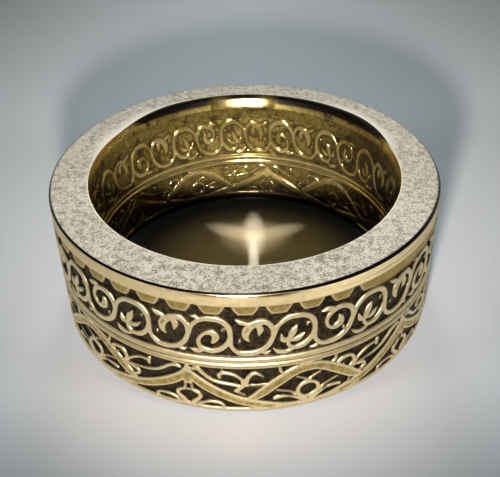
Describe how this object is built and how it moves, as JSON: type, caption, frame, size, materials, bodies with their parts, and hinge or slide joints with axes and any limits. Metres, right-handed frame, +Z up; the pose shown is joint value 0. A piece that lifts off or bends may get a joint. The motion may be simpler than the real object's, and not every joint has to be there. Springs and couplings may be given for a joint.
{
  "type": "coin ring",
  "caption": "Plain finger ring folded from one thick coin, with struck relief inside and out and a flat ground face round the top.",
  "frame": {"origin": "middle of the lower edge, on the axis of the finger hole, where the ring lies on a surface", "axes": "+Z up along the axis of the finger hole, -Y towards the front of the picture, +X to its right"},
  "size_m": [0.0246, 0.0246, 0.0089],
  "materials": {
    "band_bronze": "struck relief polished on its high parts over a dark patina, top face ground matt"
  },
  "bodies": {
    "root": {"ring_band": "band_bronze"}
  },
  "joints": []
}
